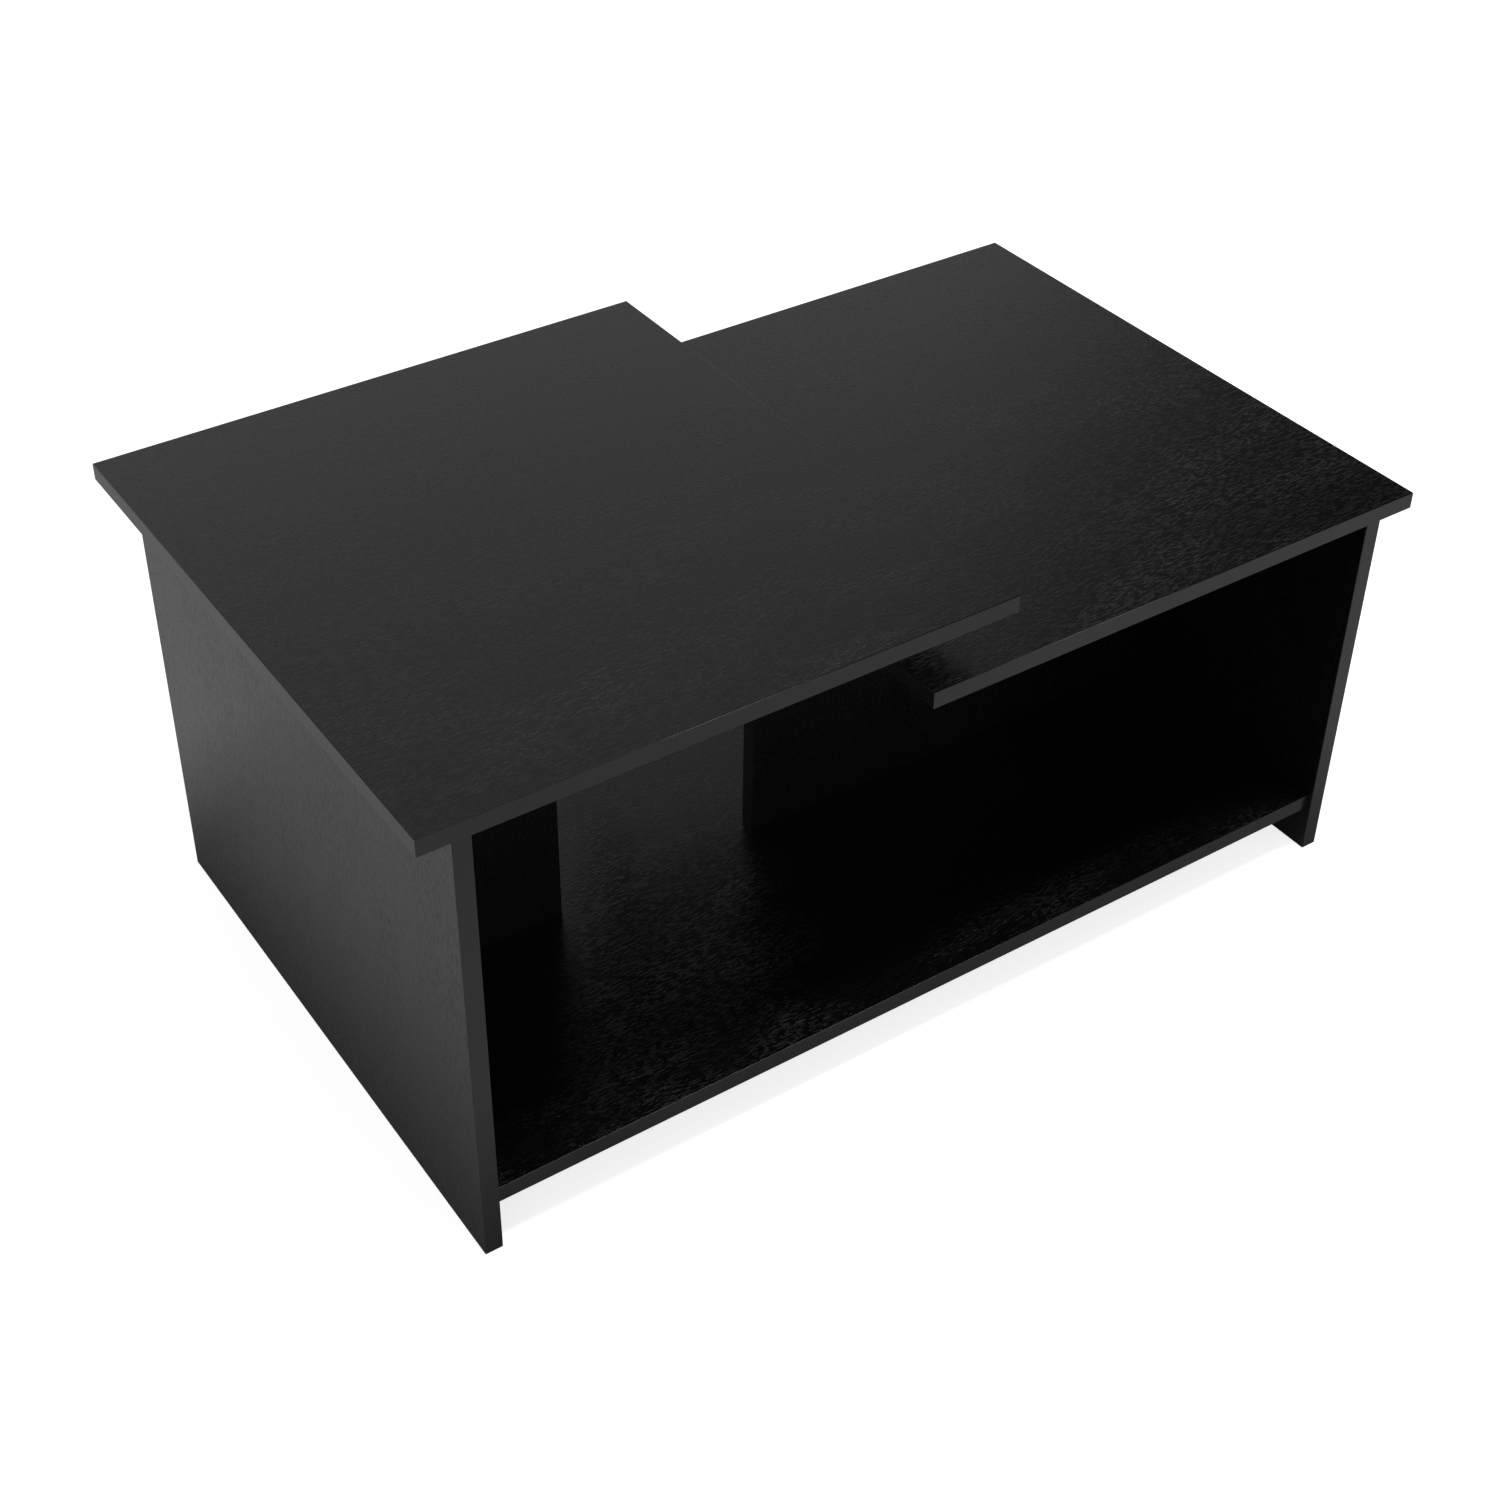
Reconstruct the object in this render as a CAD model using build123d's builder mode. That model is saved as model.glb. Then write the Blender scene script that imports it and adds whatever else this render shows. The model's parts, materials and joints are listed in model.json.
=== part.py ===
from build123d import *
from math import cos, hypot, radians, sin
from os import makedirs

# Lift top coffee table: two side panels, a bottom shelf and two middle panels carry a fixed top at the right.
# A second top, at the left, stands higher, overlaps the fixed one, and rides on two parallelogram lift units.
# Millimetres. Origin under the middle of the table, on the floor. +X right, +Y to the back, +Z up.

# ---- driving dimensions ---------------------------------------------------------------------------------
table_length = 912.0
table_depth = 540.0
lift_top_height = 424.0
fixed_top_height = 366.0
top_length = 493.0
board_thickness = 15.0
band_thickness = 1.0
band_easing = 0.6
side_overhang = 28.0  # how far a top reaches past the side panel under it
end_inset = 5.0  # side panels stand this far inside the tops' front and back edges
shelf_height = 58.0  # upper face of the bottom shelf
shelf_inset = 5.0  # shelf edges inside the side panels' edges
mid_panel_front = -28.0  # front faces of the two middle panels
passage_left = -219.5  # the passage between the middle panels runs from here ...
passage_right = -27.5  # ... to here
left_mid_top_gap = 6.0  # between the left middle panel and the lifting top
rest_gap = 1.5  # between the left side panel and the lifting top, filled by bumpers
rail_height = 100.0
rail_back_gap = 10.0

# ---- knock-down fittings --------------------------------------------------------------------------------
cam_radius = 7.5
cam_depth = 12.0
cam_setback = 24.0
cam_play = 0.1
cam_cross_width = 1.6
cam_cross_length = 9.0
cam_cross_depth = 3.0
cam_slot_length = 15.0
cam_slot_shift = 1.875  # towards the bolt, from the cam's middle
cam_slot_width = 7.2
bolt_bore_radius = 3.5
bolt_neck_radius = 2.0
bolt_head_radius = 3.2
bolt_head_length = 4.5
bolt_collar_length = 1.5
bolt_pilot_radius = 2.5
fitting_grip = 10.0  # how deep a bolt or a dowel goes into a board's face
dowel_radius = 4.0
dowel_reach = 20.0  # how deep a dowel goes into a board's edge
dowel_chamfer = 0.8
side_cam_ys = (-170.0, 170.0)  # where they sit along each joint
side_dowel_ys = (-220.0, -110.0, 110.0, 220.0)
left_mid_cam_xs = (-360.0, -270.0)
left_mid_dowel_xs = (-315.0,)
right_mid_cam_xs = (60.0, 330.0)
right_mid_dowel_xs = (110.0, 280.0)
left_mid_cam_zs = (140.0, 340.0)
left_mid_dowel_zs = (100.0, 240.0)
right_mid_cam_zs = (140.0, 270.0)
right_mid_dowel_zs = (100.0, 205.0)
rail_cam_ys = (150.0, 235.0)
rail_dowel_y = 192.0
rail_cam_zs = (275.0, 325.0)
rail_dowel_z = 300.0

# ---- lift units -----------------------------------------------------------------------------------------
arm_length = 165.0  # pin to pin
arm_width = 22.0
rest_angle = 6.0  # arms above the horizontal when the top is down
travel = 100.0  # degrees that the arms turn to bring the top up
front_pivot = (25.0, 330.0)  # Y, Z of the pivots on the base plates
rear_pivot = (80.0, 302.0)
spring_anchor = (-2.0, 340.0)
spring_reach = 45.0  # spring stud and sync bar, along the rear arm from its pivot
sync_reach = 75.0
plate_end = 2.0  # distances inwards from the board that carries a unit
arm_start = 14.0
arm_end = 17.0
web_start = 17.5
web_end = 19.5
flange_end = 45.0
spring_line = 25.0
pin_radius = 4.0
running_clearance = 0.05
open_clearance = 0.6  # extra room at the front arms' upper pins
pin_head_radius = 7.0
pin_head = 2.5
pin_play = 0.2  # along a pin, between an arm and what holds it
bush_radius = 8.0
stud_radius = 3.0
stud_end = 29.5
stud_cap_radius = 4.5
stud_cap = 1.5
stop_gap = 0.3
closed_stop_reach = 30.0
open_stop_reach = 18.0
plate_low = (-12.0, 270.0)
plate_high = (124.0, 349.0)
plate_corner = 8.0
plate_slot_length = 40.0
plate_slot_width = 10.0
plate_slot_centre = (70.0, 336.0)
plate_screw_points = ((20.0, 284.0), (112.0, 278.0), (50.0, 340.0), (112.0, 338.0))
bracket_steel = 2.0
bracket_front = -150.0
bracket_back = 262.0
bracket_screw_ys = (-130.0, -50.0, 60.0, 140.0, 235.0)
# Y, and depth below the lifting top
web_outline = ((0.0, 12.0), (150.0, 24.0), (172.0, 71.0), (240.0, 107.0), (262.0, 91.0))
sync_bar_radius = 6.0
spring_radius = 4.0
spring_wire = 1.2
spring_ring_radius = 4.0
screw_radius = 2.0
screw_hole_radius = 2.2
screw_length = 13.0
screw_tip = 2.5
screw_head_radius = 4.0
screw_head = 2.2
screw_crown_radius = 3.0
screw_crown = 1.1
screw_drive_width = 1.2
screw_drive_length = 5.0
screw_drive_depth = 1.2
bumper_radius = 4.0
bumper_height = 1.3
bumper_ys = (-235.0, 0.0, 235.0)

# ---- positions that follow ------------------------------------------------------------------------------
left_end = -table_length / 2
right_end = table_length / 2
front = -table_depth / 2
back = table_depth / 2
half_board = board_thickness / 2
lift_top_right = left_end + top_length
fixed_top_left = right_end - top_length
lift_underside = lift_top_height - board_thickness
fixed_underside = fixed_top_height - board_thickness
left_outer = left_end + side_overhang
left_inner = left_outer + board_thickness
right_outer = right_end - side_overhang
right_inner = right_outer - board_thickness
side_front = front + end_inset
side_back = back - end_inset
shelf_front = side_front + shelf_inset
shelf_back = side_back - shelf_inset
shelf_underside = shelf_height - board_thickness
shelf_middle = shelf_height - half_board
mid_panel_back = mid_panel_front + board_thickness
mid_panel_centre = mid_panel_front + half_board
left_mid_top = lift_underside - left_mid_top_gap
rail_left = passage_right
rail_right = rail_left + board_thickness
rail_centre = rail_left + half_board
rail_back = side_back - rail_back_gap
rail_low = fixed_underside - rail_height
left_side_top = lift_underside - rest_gap

right = (1, 0, 0)
left = (-1, 0, 0)
to_back = (0, 1, 0)
up = (0, 0, 1)
down = (0, 0, -1)

# each unit: the face that it is screwed to, and which way along X is inwards
units = ((left_inner, 1), (rail_left, -1))


def along_arm(pivot, distance, angle=rest_angle, aside=0.0):
    """A point (Y, Z) at a distance along an arm from its pivot, and aside from the arm's middle line."""
    turn = radians(angle)
    return (
        pivot[0] + distance * cos(turn) - aside * sin(turn),
        pivot[1] + distance * sin(turn) + aside * cos(turn),
    )


stop_aside = arm_width / 2 + stud_radius + stop_gap
front_tip = along_arm(front_pivot, arm_length)
rear_tip = along_arm(rear_pivot, arm_length)
spring_stud = along_arm(rear_pivot, spring_reach)
sync_point = along_arm(rear_pivot, sync_reach)
closed_stop = along_arm(rear_pivot, closed_stop_reach, rest_angle, -stop_aside)
open_stop = along_arm(rear_pivot, open_stop_reach, rest_angle + travel, stop_aside)

# ---- where the fittings sit -----------------------------------------------------------------------------
# A joint's plane starts on the two boards' meeting faces. Its x runs into the board that holds the cam or the
# deep end of the dowel, and its normal points out of the face that the cam is set in.


def joint_planes(points, into, face):
    """One plane for each point."""
    return [Plane(origin=point, x_dir=into, z_dir=face) for point in points]


side_top_x = right_outer - half_board

shelf_cam_planes = joint_planes([(left_inner, y, shelf_middle) for y in side_cam_ys], right, down)
shelf_cam_planes += joint_planes([(right_inner, y, shelf_middle) for y in side_cam_ys], left, down)
shelf_dowel_planes = joint_planes([(left_inner, y, shelf_middle) for y in side_dowel_ys], right, down)
shelf_dowel_planes += joint_planes([(right_inner, y, shelf_middle) for y in side_dowel_ys], left, down)

top_cam_points = [(x, mid_panel_centre, fixed_underside) for x in right_mid_cam_xs]
top_cam_planes = joint_planes([(side_top_x, y, fixed_underside) for y in side_cam_ys], down, left)
top_cam_planes += joint_planes(top_cam_points, down, to_back)
top_cam_planes += joint_planes([(rail_centre, y, fixed_underside) for y in rail_cam_ys], down, right)
top_dowel_points = [(x, mid_panel_centre, fixed_underside) for x in right_mid_dowel_xs]
top_dowel_planes = joint_planes([(side_top_x, y, fixed_underside) for y in side_dowel_ys], down, left)
top_dowel_planes += joint_planes(top_dowel_points, down, to_back)
top_dowel_planes += joint_planes([(rail_centre, rail_dowel_y, fixed_underside)], down, right)

mid_cam_xs = left_mid_cam_xs + right_mid_cam_xs
mid_dowel_xs = left_mid_dowel_xs + right_mid_dowel_xs
mid_cam_planes = joint_planes([(left_inner, mid_panel_centre, z) for z in left_mid_cam_zs], right, to_back)
mid_cam_planes += joint_planes([(right_inner, mid_panel_centre, z) for z in right_mid_cam_zs], left, to_back)
mid_cam_planes += joint_planes([(x, mid_panel_centre, shelf_height) for x in mid_cam_xs], up, to_back)
left_dowel_points = [(left_inner, mid_panel_centre, z) for z in left_mid_dowel_zs]
right_dowel_points = [(right_inner, mid_panel_centre, z) for z in right_mid_dowel_zs]
mid_dowel_planes = joint_planes(left_dowel_points, right, to_back)
mid_dowel_planes += joint_planes(right_dowel_points, left, to_back)
mid_dowel_planes += joint_planes([(x, mid_panel_centre, shelf_height) for x in mid_dowel_xs], up, to_back)

rail_cam_planes = joint_planes([(rail_centre, mid_panel_back, z) for z in rail_cam_zs], to_back, right)
rail_dowel_planes = joint_planes([(rail_centre, mid_panel_back, rail_dowel_z)], to_back, right)

plate_screw_planes = []
bracket_screw_planes = []
sync_screw_planes = []
for mount, inward in units:
    for y, z in plate_screw_points:
        seat = (mount + inward * plate_end, y, z)
        plate_screw_planes.append(Plane(origin=seat, x_dir=(-inward, 0, 0), z_dir=up))
    flange_middle = mount + inward * (web_end + flange_end) / 2
    for y in bracket_screw_ys:
        seat = (flange_middle, y, lift_underside - bracket_steel)
        bracket_screw_planes.append(Plane(origin=seat, x_dir=up, z_dir=to_back))
    seat = (mount + inward * arm_start, *sync_point)
    sync_screw_planes.append(Plane(origin=seat, x_dir=(inward, 0, 0), z_dir=up))

# ---- fittings, each drawn once about its own plane ------------------------------------------------------

with BuildPart() as cam_cavity:
    with BuildSketch(Plane.XY.offset(half_board - cam_depth)):
        with Locations((cam_setback, 0)):
            Circle(cam_radius)
    extrude(amount=cam_depth)
    with BuildSketch(Plane.YZ):
        Circle(bolt_bore_radius)
    extrude(amount=cam_setback)
    with BuildSketch(Plane.YZ):
        Circle(bolt_pilot_radius)
    extrude(amount=-fitting_grip)

with BuildPart() as cam_lock:
    with BuildSketch(Plane.XY.offset(half_board - cam_depth + cam_play)):
        with Locations((cam_setback, 0)):
            Circle(cam_radius - cam_play)
    extrude(amount=cam_depth - 2 * cam_play)
    with BuildSketch(Plane.XY.offset(half_board - cam_play)):
        with Locations((cam_setback, 0)):
            Rectangle(cam_cross_length, cam_cross_width)
            Rectangle(cam_cross_width, cam_cross_length)
    extrude(amount=-cam_cross_depth, mode=Mode.SUBTRACT)
    with BuildSketch(Plane.XY.offset(-cam_slot_width / 2)):
        with Locations((cam_setback - cam_slot_shift, 0)):
            Rectangle(cam_slot_length, cam_slot_width)
    extrude(amount=cam_slot_width, mode=Mode.SUBTRACT)

with BuildPart() as cam_bolt:
    with BuildSketch(Plane.XY):
        with BuildLine():
            Polyline(
                (-fitting_grip, 0),
                (-fitting_grip, bolt_pilot_radius),
                (0, bolt_pilot_radius),
                (0, bolt_head_radius),
                (bolt_collar_length, bolt_head_radius),
                (bolt_collar_length, bolt_neck_radius),
                (cam_setback - bolt_head_length, bolt_neck_radius),
                (cam_setback - bolt_head_length / 2, bolt_head_radius),
                (cam_setback, bolt_neck_radius),
                (cam_setback, 0),
                close=True,
            )
        make_face()
    revolve(axis=Axis.X)

with BuildPart() as dowel:
    with BuildSketch(Plane.YZ.offset(-fitting_grip)):
        Circle(dowel_radius)
    extrude(amount=fitting_grip + dowel_reach)
    chamfer(dowel.edges().filter_by(GeomType.CIRCLE), dowel_chamfer)

with BuildPart() as screw:
    with BuildSketch(Plane.XY):
        with BuildLine():
            Polyline(
                (-screw_head, 0),
                (-screw_head, screw_crown_radius),
                (-screw_crown, screw_head_radius),
                (0, screw_head_radius),
                (0, screw_radius),
                (screw_length - screw_tip, screw_radius),
                (screw_length, 0),
                close=True,
            )
        make_face()
    revolve(axis=Axis.X)
    with BuildSketch(Plane.YZ.offset(-screw_head)):
        Rectangle(screw_drive_length, screw_drive_width)
        Rectangle(screw_drive_width, screw_drive_length)
    extrude(amount=screw_drive_depth, mode=Mode.SUBTRACT)


def set_in_place(shape, planes):
    """Copies of one fitting, one on each plane, as separate solids."""
    with BuildPart() as made:
        with Locations(*planes):
            add(shape.part)
    return made


# ---- boards ---------------------------------------------------------------------------------------------


def box_between(low, high, mode=Mode.ADD):
    """A box between two opposite corners, in the part being built."""
    with Locations(tuple((a + b) / 2 for a, b in zip(low, high))):
        Box(*(b - a for a, b in zip(low, high)), mode=mode)


def core_corners(low, high, banded):
    """Corners of a board without its edge bands. A banded side is written as its direction, such as "-y"."""
    core_low = list(low)
    core_high = list(high)
    for side in banded:
        axis = "xyz".index(side[1])
        if side[0] == "-":
            core_low[axis] += band_thickness
        else:
            core_high[axis] -= band_thickness
    return core_low, core_high


def board(low, high, banded, cams=(), dowels=(), screws=()):
    """A board inside its edge bands, bored for the fittings that meet it."""
    with BuildPart() as made:
        box_between(*core_corners(low, high, banded))
        for planes, cavity in ((cams, cam_cavity), (dowels, dowel), (screws, screw)):
            if planes:
                with Locations(*planes):
                    add(cavity.part, mode=Mode.SUBTRACT)
    return made


def edge_band(low, high, banded):
    """The thin bands round a board, with their long outer edges eased."""

    def on_an_outer_edge(edge):
        middle = edge.center()
        gaps = (min(abs(at - a), abs(at - b)) for at, a, b in zip(middle, low, high))
        outer_faces = sum(gap < band_easing / 10 for gap in gaps)
        return outer_faces > 1 and edge.length > 2 * board_thickness

    with BuildPart() as made:
        box_between(low, high)
        box_between(*core_corners(low, high, banded), mode=Mode.SUBTRACT)
        fillet(made.edges().filter_by(on_an_outer_edge), band_easing)
    return made


lift_top_box = ((left_end, front, lift_underside), (lift_top_right, back, lift_top_height))
fixed_top_box = ((fixed_top_left, front, fixed_underside), (right_end, back, fixed_top_height))
left_side_box = ((left_outer, side_front, 0), (left_inner, side_back, left_side_top))
right_side_box = ((right_inner, side_front, 0), (right_outer, side_back, fixed_underside))
shelf_box = ((left_inner, shelf_front, shelf_underside), (right_inner, shelf_back, shelf_height))
left_mid_box = ((left_inner, mid_panel_front, shelf_height), (passage_left, mid_panel_back, left_mid_top))
right_mid_box = (
    (passage_right, mid_panel_front, shelf_height),
    (right_inner, mid_panel_back, fixed_underside),
)
rail_box = ((rail_left, mid_panel_back, rail_low), (rail_right, rail_back, fixed_underside))

all_round = ("-x", "+x", "-y", "+y")
front_and_back = ("-y", "+y")

lift_top_panel = board(*lift_top_box, all_round, screws=bracket_screw_planes)
fixed_top_panel = board(*fixed_top_box, all_round, cams=top_cam_planes, dowels=top_dowel_planes)
left_side_panel = board(
    *left_side_box,
    ("-y", "+y", "+z"),
    cams=shelf_cam_planes[:2] + mid_cam_planes[:2],
    dowels=shelf_dowel_planes[:4] + mid_dowel_planes[:2],
    screws=plate_screw_planes[:4],
)
right_side_panel = board(
    *right_side_box,
    front_and_back,
    cams=shelf_cam_planes[2:] + mid_cam_planes[2:4] + top_cam_planes[:2],
    dowels=shelf_dowel_planes[4:] + mid_dowel_planes[2:4] + top_dowel_planes[:4],
)
bottom_shelf = board(
    *shelf_box,
    front_and_back,
    cams=shelf_cam_planes + mid_cam_planes[4:],
    dowels=shelf_dowel_planes + mid_dowel_planes[4:],
)
left_mid_panel = board(*left_mid_box, ("+x", "+z"), cams=mid_cam_planes, dowels=mid_dowel_planes)
right_mid_panel = board(
    *right_mid_box,
    ("-x",),
    cams=mid_cam_planes + top_cam_planes[2:4] + rail_cam_planes,
    dowels=mid_dowel_planes + top_dowel_planes[4:6] + rail_dowel_planes,
)
lift_rail = board(
    *rail_box,
    ("+y", "-z"),
    cams=top_cam_planes[4:] + rail_cam_planes,
    dowels=top_dowel_planes[6:] + rail_dowel_planes,
    screws=plate_screw_planes[4:],
)

# ---- lift units -----------------------------------------------------------------------------------------


def studs(centres, steps):
    """Round studs along X on both units. A step is (start, end, radius), measured inwards."""
    with BuildPart() as made:
        for mount, inward in units:
            for start, end, radius in steps:
                with BuildSketch(Plane.YZ.offset(mount + inward * start)):
                    with Locations(*centres):
                        Circle(radius)
                extrude(amount=inward * (end - start))
    return made


def bushes(centres, start, end):
    """Round spacers along X on both units, bored for the pivot pins."""
    with BuildPart() as made:
        for mount, inward in units:
            with BuildSketch(Plane.YZ.offset(mount + inward * start)):
                with Locations(*centres):
                    Circle(bush_radius)
                    Circle(pin_radius, mode=Mode.SUBTRACT)
            extrude(amount=inward * (end - start))
    return made


def base_plate(mount, inward):
    """The rounded steel plate that carries one unit's pivots, stops and spring anchor."""
    middle = tuple((a + b) / 2 for a, b in zip(plate_low, plate_high))
    with BuildPart() as made:
        with BuildSketch(Plane.YZ.offset(mount)):
            with Locations(middle):
                RectangleRounded(plate_high[0] - plate_low[0], plate_high[1] - plate_low[1], plate_corner)
            with Locations(plate_slot_centre):
                SlotOverall(plate_slot_length, plate_slot_width, mode=Mode.SUBTRACT)
            with Locations(front_pivot, rear_pivot):
                Circle(pin_radius, mode=Mode.SUBTRACT)
            with Locations(spring_anchor, closed_stop, open_stop):
                Circle(stud_radius, mode=Mode.SUBTRACT)
            with Locations(*plate_screw_points):
                Circle(screw_hole_radius, mode=Mode.SUBTRACT)
        extrude(amount=inward * plate_end)
    return made


def arm(mount, inward, pivot, tip_clearance, holes):
    """One flat arm with round ends. Each extra hole is (point, radius)."""
    tip = along_arm(pivot, arm_length)
    middle = along_arm(pivot, arm_length / 2)
    with BuildPart() as made:
        with BuildSketch(Plane.YZ.offset(mount + inward * arm_start)):
            with Locations(middle):
                SlotCenterToCenter(arm_length, arm_width, rotation=rest_angle)
            with Locations(pivot):
                Circle(pin_radius + running_clearance, mode=Mode.SUBTRACT)
            with Locations(tip):
                Circle(pin_radius + tip_clearance, mode=Mode.SUBTRACT)
            for point, radius in holes:
                with Locations(point):
                    Circle(radius, mode=Mode.SUBTRACT)
        extrude(amount=inward * (arm_end - arm_start))
    return made


def top_bracket(mount, inward):
    """Folded steel: a flange under the lifting top, and a web that hangs down to the arms' upper pins."""
    web_points = [(web_outline[0][0], lift_underside)]
    web_points += [(y, lift_underside - drop) for y, drop in web_outline]
    web_points += [(web_outline[-1][0], lift_underside)]
    bracket_middle = (bracket_front + bracket_back) / 2
    with BuildPart() as made:
        with BuildSketch(Plane.YZ.offset(mount + inward * web_start)):
            with BuildLine():
                Polyline(*web_points, close=True)
            make_face()
            with Locations(front_tip, rear_tip):
                Circle(pin_radius, mode=Mode.SUBTRACT)
        extrude(amount=inward * (web_end - web_start))
        with BuildSketch(Plane.XY.offset(lift_underside - bracket_steel)):
            with Locations((mount + inward * (web_start + flange_end) / 2, bracket_middle)):
                Rectangle(flange_end - web_start, bracket_back - bracket_front)
            with Locations(*((mount + inward * (web_end + flange_end) / 2, y) for y in bracket_screw_ys)):
                Circle(screw_hole_radius, mode=Mode.SUBTRACT)
        extrude(amount=bracket_steel)
    return made


def spring(mount, inward):
    """An extension spring as a plain rod with a ring at each end, hooked over its two studs."""
    line_x = mount + inward * spring_line
    run = tuple(b - a for a, b in zip(spring_anchor, spring_stud))
    start = Vector(line_x, *spring_anchor)
    way = Vector(0, *run).normalized()
    with BuildPart() as made:
        with BuildSketch(Plane(origin=start + way * spring_ring_radius, z_dir=way)):
            Circle(spring_radius)
        extrude(amount=hypot(*run) - 2 * spring_ring_radius)
        with Locations(*(Plane(origin=(line_x, *end), z_dir=right) for end in (spring_anchor, spring_stud))):
            Torus(spring_ring_radius, spring_wire / 2)
    return made


sync_hole = [(sync_point, screw_hole_radius)]
rear_holes = sync_hole + [(spring_stud, stud_radius)]
lift_base_plate_left, lift_base_plate_right = (base_plate(*unit) for unit in units)
front_arm_left, front_arm_right = (arm(*unit, front_pivot, open_clearance, []) for unit in units)
rear_arm_left, rear_arm_right = (arm(*unit, rear_pivot, running_clearance, rear_holes) for unit in units)
top_bracket_left, top_bracket_right = (top_bracket(*unit) for unit in units)
lift_spring_left, lift_spring_right = (spring(*unit) for unit in units)

shank_end = arm_end + pin_play
shank_start = arm_start - pin_play
stud_cap_step = (stud_end, stud_end + stud_cap, stud_cap_radius)
arm_pivot_pins = studs(
    (front_pivot, rear_pivot),
    ((0, shank_end, pin_radius), (shank_end, shank_end + pin_head, pin_head_radius)),
)
top_pivot_pins = studs(
    (front_tip, rear_tip),
    (
        (shank_start - pin_head, shank_start, pin_head_radius),
        (shank_start, web_end, pin_radius),
        (web_end, web_end + pin_head, pin_head_radius),
    ),
)
arm_bushes = bushes((front_pivot, rear_pivot), plate_end, shank_start)
arm_stop_studs = studs((closed_stop, open_stop), ((0, arm_end, stud_radius),))
spring_anchor_studs = studs((spring_anchor,), ((0, stud_end, stud_radius), stud_cap_step))
spring_arm_studs = studs((spring_stud,), ((arm_start, stud_end, stud_radius), stud_cap_step))

with BuildPart() as sync_bar:
    bar_start = units[0][0] + arm_end
    bar_end = units[1][0] - arm_end
    with BuildSketch(Plane.YZ.offset(bar_start)):
        with Locations(sync_point):
            Circle(sync_bar_radius)
    extrude(amount=bar_end - bar_start)
    with Locations(*sync_screw_planes):
        add(screw.part, mode=Mode.SUBTRACT)

with BuildPart() as top_bumpers:
    with BuildSketch(Plane.XY.offset(left_side_top)):
        with Locations(*((left_outer + half_board, y) for y in bumper_ys)):
            Circle(bumper_radius)
    extrude(amount=bumper_height)

# ---- every piece, under the name of its file ------------------------------------------------------------

pieces = {
    "left_side_panel": left_side_panel,
    "right_side_panel": right_side_panel,
    "bottom_shelf": bottom_shelf,
    "left_mid_panel": left_mid_panel,
    "right_mid_panel": right_mid_panel,
    "fixed_top_panel": fixed_top_panel,
    "lift_rail": lift_rail,
    "lift_top_panel": lift_top_panel,
    "left_side_edge_band": edge_band(*left_side_box, ("-y", "+y", "+z")),
    "right_side_edge_band": edge_band(*right_side_box, front_and_back),
    "shelf_edge_band": edge_band(*shelf_box, front_and_back),
    "left_mid_edge_band": edge_band(*left_mid_box, ("+x", "+z")),
    "right_mid_edge_band": edge_band(*right_mid_box, ("-x",)),
    "fixed_top_edge_band": edge_band(*fixed_top_box, all_round),
    "lift_rail_edge_band": edge_band(*rail_box, ("+y", "-z")),
    "lift_top_edge_band": edge_band(*lift_top_box, all_round),
    "shelf_cam_locks": set_in_place(cam_lock, shelf_cam_planes),
    "shelf_cam_bolts": set_in_place(cam_bolt, shelf_cam_planes),
    "shelf_dowels": set_in_place(dowel, shelf_dowel_planes),
    "fixed_top_cam_locks": set_in_place(cam_lock, top_cam_planes),
    "fixed_top_cam_bolts": set_in_place(cam_bolt, top_cam_planes),
    "fixed_top_dowels": set_in_place(dowel, top_dowel_planes),
    "mid_panel_cam_locks": set_in_place(cam_lock, mid_cam_planes),
    "mid_panel_cam_bolts": set_in_place(cam_bolt, mid_cam_planes),
    "mid_panel_dowels": set_in_place(dowel, mid_dowel_planes),
    "lift_rail_cam_locks": set_in_place(cam_lock, rail_cam_planes),
    "lift_rail_cam_bolts": set_in_place(cam_bolt, rail_cam_planes),
    "lift_rail_dowel": set_in_place(dowel, rail_dowel_planes),
    "lift_base_plate_left": lift_base_plate_left,
    "lift_base_plate_right": lift_base_plate_right,
    "base_plate_screws": set_in_place(screw, plate_screw_planes),
    "arm_bushes": arm_bushes,
    "arm_pivot_pins": arm_pivot_pins,
    "arm_stop_studs": arm_stop_studs,
    "spring_anchor_studs": spring_anchor_studs,
    "top_bumpers": top_bumpers,
    "front_arm_left": front_arm_left,
    "front_arm_right": front_arm_right,
    "rear_arm_left": rear_arm_left,
    "rear_arm_right": rear_arm_right,
    "sync_bar": sync_bar,
    "sync_bar_screws": set_in_place(screw, sync_screw_planes),
    "spring_arm_studs": spring_arm_studs,
    "lift_spring_left": lift_spring_left,
    "lift_spring_right": lift_spring_right,
    "top_bracket_left": top_bracket_left,
    "top_bracket_right": top_bracket_right,
    "top_pivot_pins": top_pivot_pins,
    "bracket_screws": set_in_place(screw, bracket_screw_planes),
}

makedirs("parts", exist_ok=True)
for name, piece in pieces.items():
    piece.part.label = name
    export_step(piece.part, f"parts/{name}.step")

print("pieces:", len(pieces))
print("upper pivots, front and rear (Y, Z):", front_tip, rear_tip)
print("spring from", spring_anchor, "to", spring_stud, "at rest")
print("spring end with the top up:", along_arm(rear_pivot, spring_reach, rest_angle + travel))
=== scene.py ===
# %% [markdown]
# # Lift top coffee table
# Two side panels, a shelf and two middle panels carry a fixed top. A second top stands higher, overlaps the
# fixed one, and swings up on two pairs of arms. The frame that is loaded here already has every board, arm
# and pin in its place, in metres, with the floor at height 0, +X to the right and +Y to the back. This
# script gives those pieces their finishes, and builds the small parts whose real shape is finer than their
# stand-ins.

# %% Load the frame
import json
from math import cos, pi, radians, sin, tau

import bmesh
import bpy
import numpy as np
from mathutils import Matrix, Vector


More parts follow.
